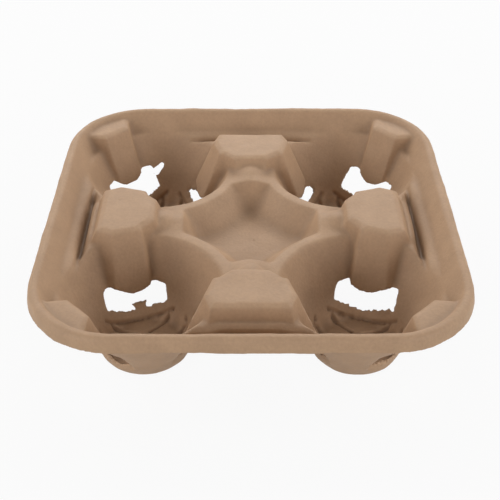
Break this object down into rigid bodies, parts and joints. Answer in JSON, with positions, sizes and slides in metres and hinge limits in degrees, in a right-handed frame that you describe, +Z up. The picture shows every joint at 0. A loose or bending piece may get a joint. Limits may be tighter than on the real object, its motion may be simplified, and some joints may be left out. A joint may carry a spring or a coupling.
{
  "type": "cup carrier",
  "caption": "Square moulded pulp tray with a rolled rim, tapered cup wells, gripping finger posts, corner ribs, relief holes and a star-shaped centre pocket, for carrying drinks.",
  "frame": {"origin": "on the table under the middle of the carrier", "axes": "+Z up out of the wells, +X right and +Y to the back as pictured, both along the sides"},
  "size_m": [0.216, 0.216, 0.054],
  "materials": {
    "pulp": "matte, fibrous"
  },
  "bodies": {
    "root": {"cup_carrier": "pulp"}
  },
  "joints": []
}
